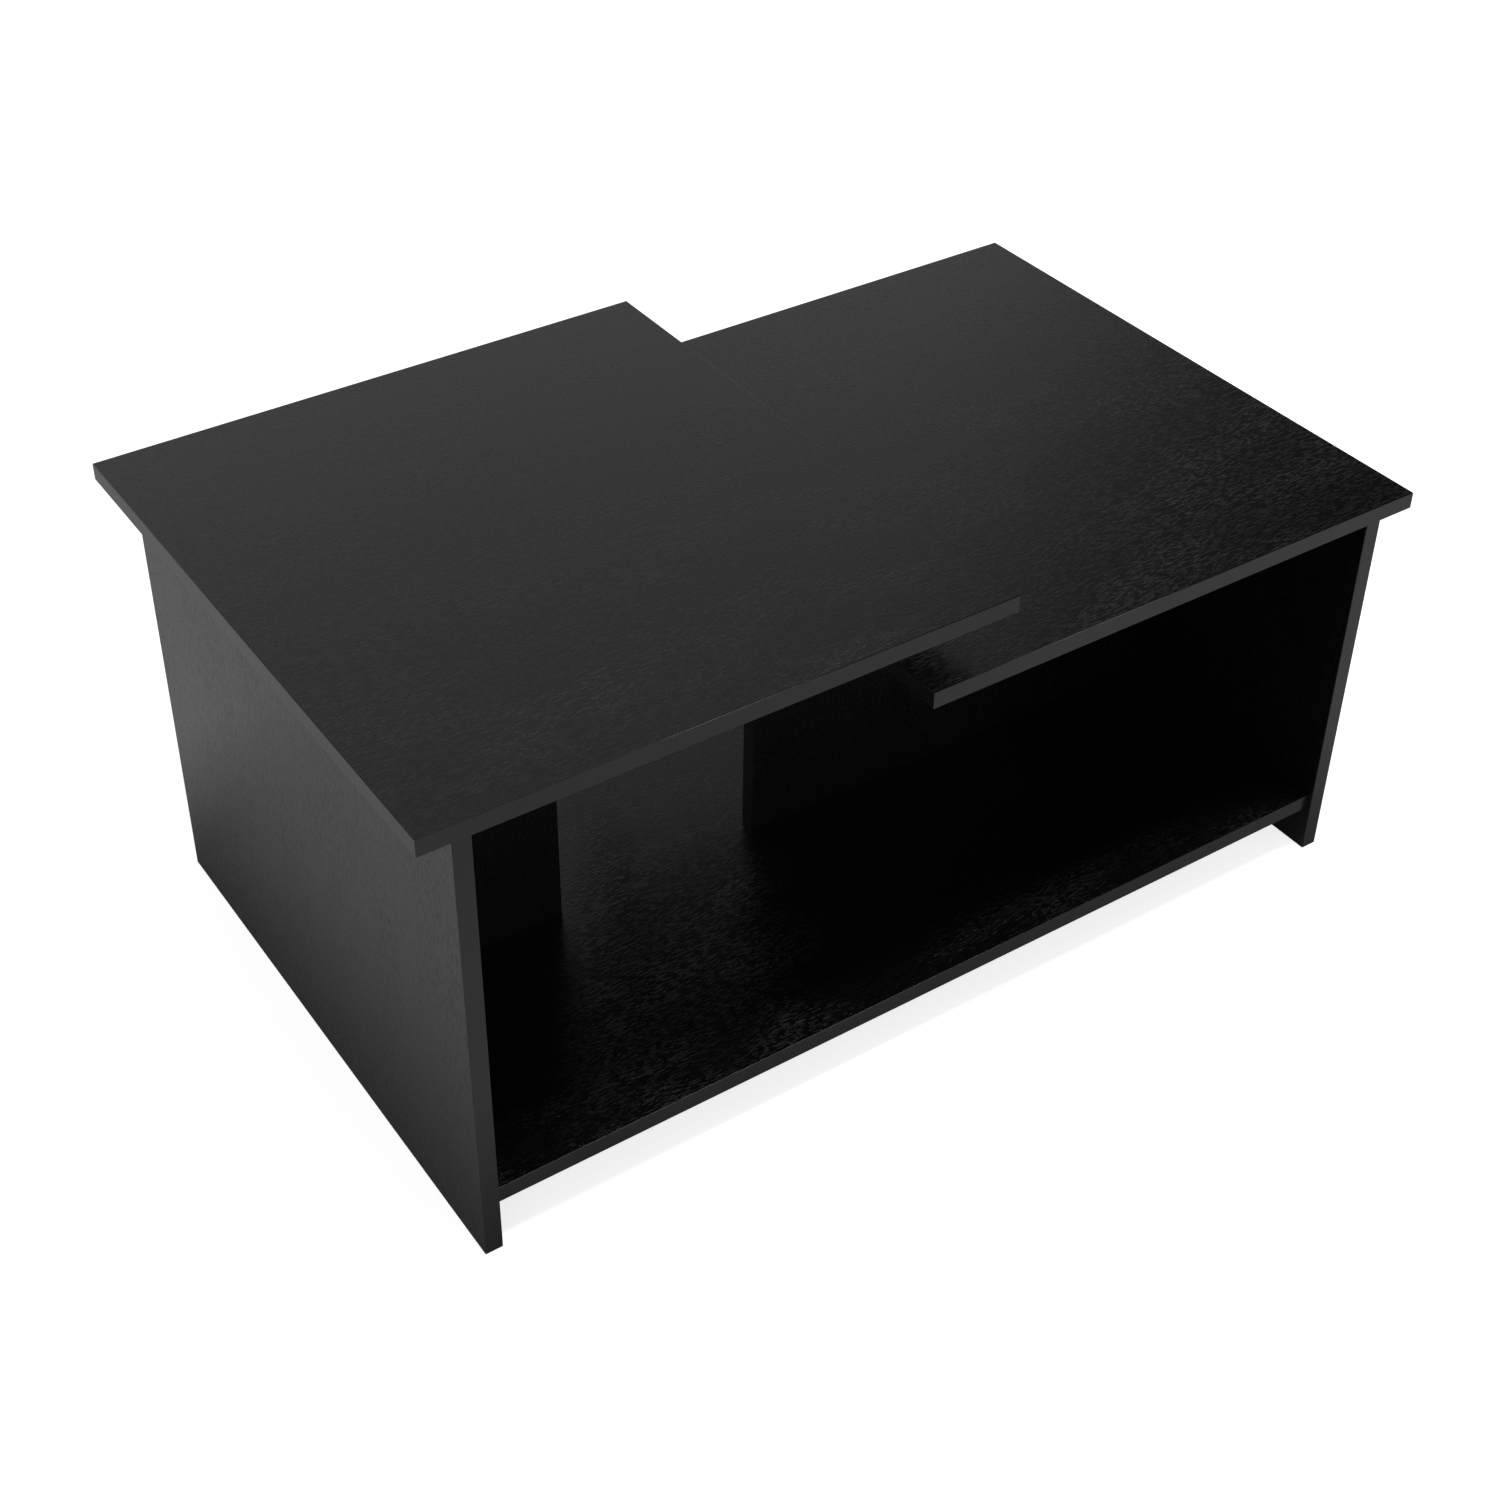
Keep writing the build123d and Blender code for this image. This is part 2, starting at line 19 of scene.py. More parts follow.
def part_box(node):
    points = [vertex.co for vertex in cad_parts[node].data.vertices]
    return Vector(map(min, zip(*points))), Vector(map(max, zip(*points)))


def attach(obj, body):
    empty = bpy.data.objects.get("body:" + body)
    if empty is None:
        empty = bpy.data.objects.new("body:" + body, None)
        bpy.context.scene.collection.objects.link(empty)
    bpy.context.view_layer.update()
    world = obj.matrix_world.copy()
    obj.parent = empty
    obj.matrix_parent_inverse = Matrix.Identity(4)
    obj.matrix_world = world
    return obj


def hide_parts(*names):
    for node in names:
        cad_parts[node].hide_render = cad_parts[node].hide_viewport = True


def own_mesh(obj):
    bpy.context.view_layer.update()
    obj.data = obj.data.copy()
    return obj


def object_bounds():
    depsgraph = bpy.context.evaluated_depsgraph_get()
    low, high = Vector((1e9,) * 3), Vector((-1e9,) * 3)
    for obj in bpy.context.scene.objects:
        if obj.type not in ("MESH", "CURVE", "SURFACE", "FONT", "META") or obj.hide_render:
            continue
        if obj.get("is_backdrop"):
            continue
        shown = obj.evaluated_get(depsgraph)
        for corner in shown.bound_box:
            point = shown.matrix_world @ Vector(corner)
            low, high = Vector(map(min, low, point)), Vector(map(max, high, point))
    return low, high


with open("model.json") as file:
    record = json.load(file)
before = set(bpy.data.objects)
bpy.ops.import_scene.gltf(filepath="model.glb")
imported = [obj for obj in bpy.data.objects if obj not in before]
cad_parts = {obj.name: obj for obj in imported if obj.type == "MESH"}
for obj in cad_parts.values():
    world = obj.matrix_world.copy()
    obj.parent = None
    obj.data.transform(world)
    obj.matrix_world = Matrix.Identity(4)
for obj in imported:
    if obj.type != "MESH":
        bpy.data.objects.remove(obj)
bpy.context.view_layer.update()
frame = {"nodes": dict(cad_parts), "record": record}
mm = 0.001

# %% [markdown]
# ## The camera
# It stands in front of the table and past its left end, 1.4 m up, and looks down over the near corner. The
# lens is a mild telephoto, which keeps the boards' edges nearly parallel. A small shift centres the table
# in the picture without turning the camera.

# %% Camera
view_turn = radians(33.28)
view_tilt = radians(36.91)
camera_data = bpy.data.cameras.new("camera")
camera_data.sensor_width = 36.0
camera_data.lens = 56.56
camera_data.shift_x = 0.0329
camera_data.shift_y = -0.0471
camera = bpy.data.objects.new("camera", camera_data)
bpy.context.scene.collection.objects.link(camera)
bpy.context.scene.camera = camera
camera.location = (-0.9239, -1.3125, 1.3987)
looking = Vector((cos(view_tilt) * sin(view_turn), cos(view_tilt) * cos(view_turn), -sin(view_tilt)))
camera.rotation_euler = looking.to_track_quat("-Z", "Y").to_euler()

# %% [markdown]
# ## A way to write materials as sums
# A procedural finish is arithmetic on patterns: this much of one noise, less where another one is high.
# Placing each node by hand hides that arithmetic, so a small class stands for one output of a node, and + -
# * on it add the Math nodes. Every other node comes from one method that takes its kind, its settings and
# its inputs.

# %% Links that can be added and multiplied


class Link:
    """One output of a node. Arithmetic between links and numbers adds Math nodes and gives a new link."""

    def __init__(self, nodes, socket):
        self.nodes = nodes
        self.socket = socket

    def math(self, operation, first, second=0.0):
        return self.nodes.add("Math", {"operation": operation}, {"Value": first, "Value_001": second})

    def __add__(self, other):
        return self.math("ADD", self, other)

    def __sub__(self, other):
        return self.math("SUBTRACT", self, other)

    def __rsub__(self, other):
        return self.math("SUBTRACT", other, self)

    def __mul__(self, other):
        return self.math("MULTIPLY", self, other)

    __radd__ = __add__

    def size(self):
        """The value without its sign."""
        return self.math("ABSOLUTE", self)

    def between(self, low, high, start=0.0, end=1.0):
        """start below low, end above high, and a smooth change from one to the other."""
        inputs = {"Value": self, "From Min": low, "From Max": high, "To Min": start, "To Max": end}
        return self.nodes.add("MapRange", {"interpolation_type": "SMOOTHSTEP"}, inputs)


class Nodes:
    """The empty node tree of a material or a world, and the one method that adds any node to it."""

    def __init__(self, owner):
        owner.use_nodes = True
        self.owner = owner
        self.tree = owner.node_tree
        self.tree.nodes.clear()

    def add(self, kind, settings=None, inputs=None, output=None):
        """Adds a node, sets its settings, then gives its inputs numbers or links. Returns one output's Link.
        Inputs and the output go by their identifiers."""
        made = self.tree.nodes.new("ShaderNode" + kind)
        for name, value in (settings or {}).items():
            setattr(made, name, value)
        sockets = {socket.identifier: socket for socket in made.inputs}
        for name, value in (inputs or {}).items():
            if isinstance(value, Link):
                self.tree.links.new(value.socket, sockets[name])
            else:
                sockets[name].default_value = value
        outputs = {socket.identifier: socket for socket in made.outputs if socket.enabled}
        return Link(self, outputs[output] if output else next(iter(outputs.values()), None))

    def place(self):
        """The point on the surface, in the table's own metres."""
        return self.add("TexCoord", {}, {}, "Object")

    def noise(self, place, scale, detail=2.0):
        """Soft random lumps, about 1 / scale across, from 0 to 1 with most of them near 0.5."""
        return self.add("TexNoise", {}, {"Vector": place, "Scale": scale, "Detail": detail}, "Fac")

    def vector(self, operation, first, second):
        """One Vector Math node on two vectors."""
        inputs = {"Vector": first, "Vector_001": second}
        return self.add("VectorMath", {"operation": operation}, inputs, "Vector")

    def mix(self, share, first, second):
        """The first colour where share is 0, the second where it is 1. A colour is a link or (r, g, b)."""
        first, second = (c if isinstance(c, Link) else (*c, 1.0) for c in (first, second))
        inputs = {"Factor_Float": share, "A_Color": first, "B_Color": second}
        return self.add("Mix", {"data_type": "RGBA"}, inputs, "Result_Color")

    def bump(self, height, depth):
        """A surface normal for a height from 0 to 1, where 1 stands depth metres above 0."""
        return self.add("Bump", {}, {"Height": height, "Strength": 1.0, "Distance": depth}, "Normal")

    def surface(self, inputs):
        """The main shader and the output. Returns the material."""
        shader = self.add("BsdfPrincipled", {}, inputs, "BSDF")
        self.add("OutputMaterial", {}, {"Surface": shader})
        return self.owner


def finish_nodes(name):
    """The nodes of a new material."""
    return Nodes(bpy.data.materials.new(name))


def dress(piece, material):
    """Gives the whole piece one material."""
    if not piece.material_slots:
        piece.data.materials.append(material)
    for slot in piece.material_slots:
        slot.material = material


print("Nodes adds nodes, and a Link adds up their values")

# %% [markdown]
# ## Black wood-grain melamine
# The boards are particle board faced with a printed and embossed paper. The print is nearly black, so what
# shows is the embossing: short shallow strokes along the grain, in drifts, which catch the light as pairs
# of a pale and a dark hairline. A picture of a veneer could be wrapped on, but noise stretched along the
# grain gives the same strokes at any size without repeating. It reads the boards' own place in space, and a
# turn and a shift for each board keep the grain running the right way, and different on every board.

# %% Board finish
board_black = (0.0022, 0.0021, 0.0021)
board_print = (0.0034, 0.0031, 0.0030)
stroke_length = 8 * mm
stroke_width = 0.85 * mm
stroke_levels = (0.54, 0.66)
fibre_length = 30 * mm
fibre_width = 0.45 * mm
drift_length = 150 * mm
drift_width = 55 * mm
drift_levels = (0.42, 0.62)
drift_tint = 0.4
depth_outside_drifts = 0.55
wander_length = 160 * mm
wander_width = 50 * mm
grain_wander = 5 * mm
emboss_depth = 0.065 * mm
fibre_height = 0.16
board_roughness = 0.20
pore_roughness = 0.12
fibre_roughness = 0.06


def stretched(finish, place, length, width):
    """The place, scaled so that noise on it has lumps this long along X and this wide along Y and Z."""
    return finish.vector("MULTIPLY", place, (1 / length, 1 / width, 1 / width))


def wood_grain_board(name, turn, shift):
    """Melamine for a board whose grain runs along X once space is turned and shifted."""
    finish = finish_nodes(name)
    placing = {"Vector": finish.place(), "Rotation": turn, "Location": shift}
    place = finish.add("Mapping", {}, placing, "Vector")
    slow = {"Vector": stretched(finish, place, wander_length, wander_width), "Scale": 1.0}
    lazy = finish.add("TexNoise", {}, slow, "Color")
    place = finish.vector("ADD", place, finish.vector("MULTIPLY", lazy, (0.0, grain_wander, grain_wander)))
    strokes = finish.noise(stretched(finish, place, stroke_length, stroke_width), 1.0, 1.0)
    drifts = finish.noise(stretched(finish, place, drift_length, drift_width), 1.0).between(*drift_levels)
    fibres = finish.noise(stretched(finish, place, fibre_length, fibre_width), 1.0)
    depth = depth_outside_drifts + drifts * (1 - depth_outside_drifts)
    pores = strokes.between(*stroke_levels) * depth
    tint = drifts * drift_tint + fibres * (1 - drift_tint)
    return finish.surface({
        "Base Color": finish.mix(tint, board_black, board_print),
        "Roughness": board_roughness + pores * pore_roughness + fibres * fibre_roughness,
        "Normal": finish.bump(fibres * fibre_height - pores, emboss_depth),
    })


along_x = (0.0, 0.0, 0.0)
along_y = (0.0, 0.0, -pi / 2)
along_z = (0.0, pi / 2, 0.0)
board_grain = {
    "lift_top_panel": (along_x, (0.0, 0.0, 0.0)),
    "fixed_top_panel": (along_x, (3.1, 1.7, 0.4)),
    "bottom_shelf": (along_x, (7.3, 0.9, 2.2)),
    "left_side_panel": (along_z, (1.3, 4.1, 0.8)),
    "right_side_panel": (along_z, (5.9, 2.6, 1.1)),
    "left_mid_panel": (along_z, (2.4, 6.2, 3.3)),
    "right_mid_panel": (along_z, (8.6, 0.2, 5.0)),
    "lift_rail": (along_y, (4.4, 5.3, 6.1)),
}
for node, (turn, shift) in board_grain.items():
    dress(frame["nodes"][node], wood_grain_board("board_" + node, turn, shift))
print("boards with their own grain:", len(board_grain))

# %% [markdown]
# ## Edge banding and the small parts' finishes
# The cut edges are covered with a thin plastic strip in the same black, smoother than the boards. Arms,
# plates and brackets are powder coated: melted powder leaves fine soft hills like orange peel. Screws and
# pins are zinc plated, cam locks are raw zinc castings, springs are oiled wire, bushes are nylon and dowels
# are beech. All but the beech are one recipe with different numbers: two shades in soft patches, a fine
# relief, and a roughness that follows both.

# %% Finishes of everything that isn't a board
patch_levels = (0.3, 0.7)
beech_pale = (0.60, 0.42, 0.25)
beech_brown = (0.47, 0.30, 0.16)
beech_fleck = (0.26, 0.14, 0.07)
beech_change = 12 * mm
fleck_size = 0.9 * mm
fleck_levels = (0.56, 0.66)
fleck_share = 0.6
fleck_depth = 0.05 * mm
beech_roughness = 0.55
fleck_roughness = 0.15
bumper_clearness = 0.75


def mottled(name, dark, pale, patch, gloss, relief, **constant):
    """Two shades in patches this wide. gloss is (least, most) roughness, and relief is (width, depth)."""
    finish = finish_nodes(name)
    place = finish.place()
    patches = finish.noise(place, 1 / patch, 3.0).between(*patch_levels)
    width, depth = relief
    hills = finish.noise(place, 1 / width)
    least, most = gloss
    half = (most - least) / 2
    return finish.surface({
        "Base Color": finish.mix(patches, dark, pale),
        "Roughness": least + patches * half + hills * half,
        "Normal": finish.bump(hills, depth),
        **constant,
    })


def beech_dowel():
    """Pale beech: fine dark flecks over a slow change between two browns."""
    finish = finish_nodes("beech")
    place = finish.place()
    slow = finish.noise(place, 1 / beech_change)
    flecks = finish.noise(place, 1 / fleck_size, 1.0).between(*fleck_levels)
    wood = finish.mix(slow, beech_pale, beech_brown)
    return finish.surface({
        "Base Color": finish.mix(flecks * fleck_share, wood, beech_fleck),
        "Roughness": beech_roughness + flecks * fleck_roughness,
        "Normal": finish.bump(1.0 - flecks, fleck_depth),
    })


finishes = {
    "black_edge_band": mottled(
        "edge_banding", (0.0050, 0.0048, 0.0047), (0.0075, 0.0072, 0.0071),
        60 * mm, (0.20, 0.28), (2.5 * mm, 0.02 * mm),
    ),
    "black_coated_steel": mottled(
        "powder_coat", (0.0070, 0.0070, 0.0074), (0.0105, 0.0105, 0.0110),
        25 * mm, (0.34, 0.46), (0.9 * mm, 0.03 * mm),
    ),
    "zinc_plated_steel": mottled(
        "zinc_plating", (0.52, 0.54, 0.57), (0.66, 0.67, 0.68),
        4 * mm, (0.20, 0.36), (0.5 * mm, 0.006 * mm), Metallic=1.0,
    ),
    "screw_steel": mottled(
        "screw_zinc", (0.46, 0.47, 0.50), (0.62, 0.62, 0.62),
        3 * mm, (0.22, 0.38), (0.4 * mm, 0.005 * mm), Metallic=1.0,
    ),
    "cast_zinc": mottled(
        "zinc_casting", (0.34, 0.35, 0.37), (0.50, 0.51, 0.52),
        2.5 * mm, (0.38, 0.58), (0.35 * mm, 0.03 * mm), Metallic=1.0,
    ),
    "spring_steel": mottled(
        "spring_wire", (0.22, 0.22, 0.23), (0.36, 0.36, 0.37),
        5 * mm, (0.24, 0.40), (0.3 * mm, 0.006 * mm), Metallic=1.0,
    ),
    "nylon": mottled(
        "nylon", (0.60, 0.59, 0.54), (0.70, 0.69, 0.65),
        6 * mm, (0.38, 0.50), (0.7 * mm, 0.01 * mm),
    ),
    "clear_bumper": mottled(
        "clear_rubber", (0.70, 0.70, 0.68), (0.82, 0.82, 0.80),
        5 * mm, (0.18, 0.30), (1.0 * mm, 0.01 * mm), **{"Transmission Weight": bumper_clearness},
    ),
    "beech": beech_dowel(),
}
node_slots = {subpart["node"]: subpart["material_slot"] for subpart in frame["record"]["subparts"]}
for node, slot in node_slots.items():
    if slot in finishes:
        dress(frame["nodes"][node], finishes[slot])
print("finishes besides the boards:", len(finishes))

# %% [markdown]
# ## Reading the frame's solids
# One node may hold many alike solids, such as every screw of a kind. To build finer ones in their places,
# the script has to know where each one lies. A node's mesh is loose triangles, so corners in the same spot
# are first counted as one. Then every corner takes the lowest number among the triangles that it belongs
# to, again and again, until each solid has a number of its own. That is done on whole arrays, with no loop
# over corners.

# %% Where each solid lies
end_slice = 0.1 * mm


def solids_of(node):
    """The separate solids of a CAD node, each as an array of its corners (N, 3)."""
    mesh = frame["nodes"][node].data
    corners = np.empty(len(mesh.vertices) * 3, np.float32)
    mesh.vertices.foreach_get("co", corners)
    loops = np.empty(len(mesh.loops), np.int32)
    mesh.loops.foreach_get("vertex_index", loops)
    spots, spot_of = np.unique(corners.reshape(-1, 3).round(6), axis=0, return_inverse=True)
    triangles = spot_of.ravel()[loops].reshape(-1, 3)
    label = np.arange(len(spots))
    while True:
        before = label.copy()
        np.minimum.at(label, triangles.ravel(), np.repeat(label[triangles].min(1), 3))
        label = label[label]
        if np.array_equal(before, label):
            break
    return [spots[label == one] for one in np.unique(label)]


def wide_to_narrow(corners, axis=None):
    """The middles of a round solid's two ends, the wider end first. It lies along this axis, or else along
    its longest side."""
    low, high = corners.min(0), corners.max(0)
    axis = int(np.argmax(high - low)) if axis is None else axis
    middle = (low + high) / 2
    radius = np.linalg.norm(np.delete(corners - middle, axis, 1), axis=1)
    at_low = radius[corners[:, axis] < low[axis] + end_slice].max()
    at_high = radius[corners[:, axis] > high[axis] - end_slice].max()
    start, end = middle.copy(), middle.copy()
    start[axis], end[axis] = low[axis], high[axis]
    return (start, end) if at_low > at_high else (end, start)


print("dowels in the shelf joints:", len(solids_of("shelf_dowels")))

# %% [markdown]
# ## Turned parts
# Screws, bolts, rivets, dowels and bumpers are all turned: a profile is carried round an axis. The surface
# is a function of two parameters, the step along the profile and the angle. A thread or a flute only makes
# the radius depend on the angle as well. One shape is worked out about its own axis, and then set in every
# place at once, as one array for all the copies.

# %% Meshes from grids of points
same_spot = 0.001 * mm
thread_bluntness = 0.6


def grid_faces(rows, columns, close_rows=False):
    """The corner numbers of every cell of a grid that closes on itself along its columns, as (cells, 4)."""
    row = np.arange(rows if close_rows else rows - 1)[:, None]
    column = np.arange(columns)[None, :]
    next_row = (row + 1) % rows
    next_column = (column + 1) % columns
    cells = (row * columns + column, row * columns + next_column)
    cells += (next_row * columns + next_column, next_row * columns + column)
    return np.stack(cells, -1).reshape(-1, 4)


def copies_of(grid, ends):
    """A grid of points about X, which runs from 0 along +X, set between each pair of (start, end) points."""
    placed = []
    for start, end in ends:
        ahead = Vector(end) - Vector(start)
        turn = Vector((1, 0, 0)).rotation_difference(ahead).to_matrix()
        placed.append(grid.reshape(-1, 3) @ np.array(turn).T + start)
    return np.array(placed)


def shade(mesh, angle=35):
    """Smooth shading, with sharp edges where two faces meet at more than this angle."""
    mesh.shade_smooth()
    mesh.set_sharp_from_angle(angle=radians(angle))


def join_corners(mesh, flatten=False):
    """Joins corners that share a spot, and turns all faces outward. Flattening also joins the triangles of
    one flat face."""
    clean = bmesh.new()
    clean.from_mesh(mesh)
    bmesh.ops.remove_doubles(clean, verts=clean.verts, dist=same_spot)
    if flatten:
        bmesh.ops.dissolve_limit(clean, angle_limit=radians(1), verts=clean.verts, edges=clean.edges)
    bmesh.ops.recalc_face_normals(clean, faces=clean.faces)
    clean.to_mesh(mesh)
    clean.free()


def set_in(name, mesh, body, slot, nodes):
    """A piece with this mesh and this slot's finish, on this body. It stands for these nodes."""
    piece = bpy.data.objects.new(name, mesh)
    bpy.context.scene.collection.objects.link(piece)
    dress(piece, finishes[slot])
    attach(piece, body)
    if nodes:
        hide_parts(*nodes)
    return piece


def add_piece(name, points, faces, body, nodes=(), slot=None):
    """A closed piece from copies of one grid (copies, points, 3). Its finish is its first node's slot's, or
    the named slot's."""
    shift = np.arange(len(points))[:, None, None] * points.shape[1]
    mesh = bpy.data.meshes.new(name)
    mesh.from_pydata(points.reshape(-1, 3).tolist(), [], (faces[None] + shift).reshape(-1, 4).tolist())
    join_corners(mesh)
    shade(mesh)
    return set_in(name, mesh, body, slot or node_slots[nodes[0]], nodes)


def turned(along, radius, sides=32, thread=None):
    """A grid about X. along and radius are the profile's steps. thread is (start, end, pitch, depth):
    between those distances the radius falls by depth times the valley to a power that widens its floor. The
    valley is half of 1 - cos(phase), and the phase is along / pitch less angle / full turn, in full turns."""
    along = np.asarray(along, float)[:, None]
    radius = np.asarray(radius, float)[:, None]
    angle = np.arange(sides)[None, :] * tau / sides
    if thread:
        start, end, pitch, depth = thread
        valley = 0.5 - 0.5 * np.cos(tau * (along / pitch - angle / tau))
        inside = np.clip((along - start) / pitch, 0, 1) * np.clip((end - along) / pitch, 0, 1)
        radius = radius - depth * valley**thread_bluntness * inside
    radius = np.maximum(radius, 0.0)
    points = (along + 0 * angle, radius * np.cos(angle), radius * np.sin(angle))
    return np.stack(np.broadcast_arrays(*points), -1)


def steps(*stretches):
    """The profile's steps as two arrays. A stretch is (along, radius) for a corner, or
    (along, radius, along, radius, count) for a straight run cut into that many steps."""
    runs = [np.array([s]) if len(s) == 2 else np.linspace(s[:2], s[2:4], s[4]) for s in stretches]
    return np.concatenate(runs).T


print("a turned dowel grid:", turned(*steps((0, 0), (0, 4 * mm), (30 * mm, 4 * mm), (30 * mm, 0))).shape)

# %% [markdown]
# ## Screws
# Chipboard screws have a low domed head with a cross recess, and a coarse thread with a sharp crest. The
# head is a depth below its top over a disc: a dome, and a cross that sinks into it. Its outer rim meets the
# shank's profile, so head and shank are one closed skin.

# %% Screws
screw_head_radius = 4.0 * mm
screw_head_height = 2.2 * mm
screw_dome_height = 0.62 * screw_head_height
screw_rim_end = 0.8 * screw_head_height
screw_under_radius = 0.96 * screw_head_radius
screw_shank_radius = 2.0 * mm
screw_length = 13.0 * mm
screw_point_length = 2.5 * mm
screw_pitch = 1.3 * mm
screw_thread_depth = 0.55 * mm
recess_reach = 2.5 * mm
recess_width = 0.75 * mm
recess_depth = 1.4 * mm


def cross_head(sides, rings=15):
    """A grid of rings over the head, from its middle out, as a depth below the top. The dome falls by its
    height times (r / head radius) ^ 2.4. The recess adds its depth times the cross, which is 1 along both
    arms and falls to 0 with the distance from the nearer arm, over its width, and with r, over its reach."""
    ring = np.linspace(0, 1, rings)[:, None] ** 0.9 * screw_head_radius
    angle = np.arange(sides)[None, :] * tau / sides
    across = ring * np.cos(angle)
    up = ring * np.sin(angle)
    near = np.minimum(abs(across), abs(up))
    domed = screw_dome_height * (ring / screw_head_radius) ** 2.4
    cross = np.clip(1.3 - near / recess_width, 0, 1) * np.clip(1.15 - ring / recess_reach, 0, 1)
    cross = np.minimum(cross * 1.6, 1.0)
    return np.stack(np.broadcast_arrays(domed + recess_depth * cross, across, up), -1)


def screw_grid(sides=32):
    """A screw from the top of its head to its point."""
    shank_start = screw_head_height
    shank_end = shank_start + screw_length
    point_start = shank_end - screw_point_length
    profile = steps(
        (screw_rim_end, screw_head_radius),
        (shank_start, screw_under_radius),
        (shank_start, screw_shank_radius),
        (shank_start, screw_shank_radius, point_start, screw_shank_radius, 64),
        (point_start, screw_shank_radius, shank_end, 0.0, 12),
    )
    shank = turned(*profile, sides, (shank_start, shank_end, screw_pitch, screw_thread_depth))
    return np.concatenate([cross_head(sides), shank])


screw = screw_grid()
screw_bodies = {"base_plate_screws": "root", "bracket_screws": "lift_top", "sync_bar_screws": "rear_arms"}
for node, body in screw_bodies.items():
    ends = [wide_to_narrow(solid) for solid in solids_of(node)]
    add_piece(node + "_threaded", copies_of(screw, ends), grid_faces(*screw.shape[:2]), body, [node])
    print(node, len(ends))

# %% [markdown]
# ## Cam bolts and dowels
# Each board joint is pulled tight by a bolt that screws into one board and whose waisted head is caught by
# a cam in the other. Dowels beside it keep the boards in line. Their flutes let air and glue out of the
# hole, and are a wave on the radius, with one full wave for each flute.

# %% Cam bolts and dowels
bolt_tip_radius = 1.6 * mm
bolt_thread_radius = 2.5 * mm
bolt_neck_radius = 2.0 * mm
bolt_head_radius = 3.2 * mm
collar_start = 10 * mm
collar_end = 11.5 * mm
head_start = 29.5 * mm
head_middle = 31.75 * mm
bolt_length = 34 * mm
bolt_thread = (0.4 * mm, 9.8 * mm, 2.4 * mm, 0.7 * mm)
bolt = turned(*steps(
    (0, 0),
    (0, bolt_tip_radius),
    (0.6 * mm, bolt_thread_radius, 9.6 * mm, bolt_thread_radius, 40),
    (collar_start, bolt_thread_radius),
    (collar_start, bolt_head_radius),
    (collar_end, bolt_head_radius),
    (collar_end, bolt_neck_radius),
    (head_start, bolt_neck_radius, head_middle, bolt_head_radius, 5),
    (head_middle, bolt_head_radius, bolt_length, bolt_neck_radius, 5),
    (bolt_length, 0),
), 28, bolt_thread)
for node in ("shelf_cam_bolts", "fixed_top_cam_bolts", "mid_panel_cam_bolts", "lift_rail_cam_bolts"):
    ends = [wide_to_narrow(solid) for solid in solids_of(node)]
    add_piece(node + "_threaded", copies_of(bolt, ends), grid_faces(*bolt.shape[:2]), "root", [node])

flutes = 16
flute_depth = 0.06
dowel_sides = 4 * flutes
dowel_length = 30 * mm
dowel_radius = 4.0 * mm
dowel_end_radius = 3.2 * mm
dowel_chamfer = 0.8 * mm
dowel = turned(*steps(
    (0, 0),
    (0, dowel_end_radius),
    (dowel_chamfer, dowel_radius),
    (dowel_length - dowel_chamfer, dowel_radius),
    (dowel_length, dowel_end_radius),
    (dowel_length, 0),
), dowel_sides)
wave = 1 - flute_depth * (0.5 - 0.5 * np.cos(np.arange(dowel_sides) * flutes * tau / dowel_sides))
dowel[2:4, :, 1:] *= wave[None, :, None]
for node in ("shelf_dowels", "fixed_top_dowels", "mid_panel_dowels", "lift_rail_dowel"):
    ends = [wide_to_narrow(solid) for solid in solids_of(node)]
    add_piece(node + "_fluted", copies_of(dowel, ends), grid_faces(*dowel.shape[:2]), "root", [node])
print("steps along a bolt:", bolt.shape[0])

# %% [markdown]
# ## Rivets, studs and bumpers
# The pivots are shouldered rivets. Their heads are pressed into low domes with a small dimple where the
# punch held them. The dome's profile is a quarter of an ellipse. The spring studs are made alike, with
# lower heads, and the bumpers under the lifting top are clear domes.

# %% Rivets, studs and bumpers
pin_radius = 4.0 * mm
pin_head_height = 2.5 * mm
stud_radius = 3.0 * mm
stud_head_height = 1.5 * mm
rim_share = 0.35
tip_share = 0.85
tip_chamfer = 0.5 * mm
dimple_level = 0.72
dimple_share = 0.10
bumper_radius = 4.0 * mm
bumper_rim_share = 0.2


def dome(from_along, height, radius, count=9):
    """A quarter ellipse, from a rim at this radius to a dimple on the axis, as stretches for a profile."""
    turn = np.linspace(0, 0.44 * pi, count)
    curve = [(from_along + height * sin(a), radius * cos(a)) for a in turn]
    dimple = from_along + dimple_level * height
    return [*curve, (dimple, dimple_share * radius), (dimple, 0)]


def rivet(length, shank_radius, head_radius, head_height, both_ends):
    """A rivet from its head, at 0, to its far end. Its profile is built head last, and then turned round."""
    rim = rim_share * head_height
    head = [(length - head_height, shank_radius), (length - head_height, head_radius)]
    head += dome(length - head_height + rim, head_height - rim, head_radius)
    if both_ends:
        tail = [(length - a, r) for a, r in reversed(head)]
    else:
        tail = [(0, 0), (0, tip_share * shank_radius), (tip_chamfer, shank_radius)]
    along, radius = steps(*tail, *head)
    return turned(length - along[::-1], radius[::-1], 40)


def add_rivets(node, body, shank_radius, head_height, both_ends=False):
    """Rivets in the places of a node's plain ones, all as long and as wide as the first."""
    solids = solids_of(node)
    size = np.ptp(solids[0], axis=0)
    grid = rivet(size[0], shank_radius, size[1] / 2, head_height, both_ends)
    ends = [wide_to_narrow(solid, axis=0) for solid in solids]
    add_piece(node + "_domed", copies_of(grid, ends), grid_faces(*grid.shape[:2]), body, [node])
    print(node, len(ends), "length, mm:", round(size[0] / mm, 1))


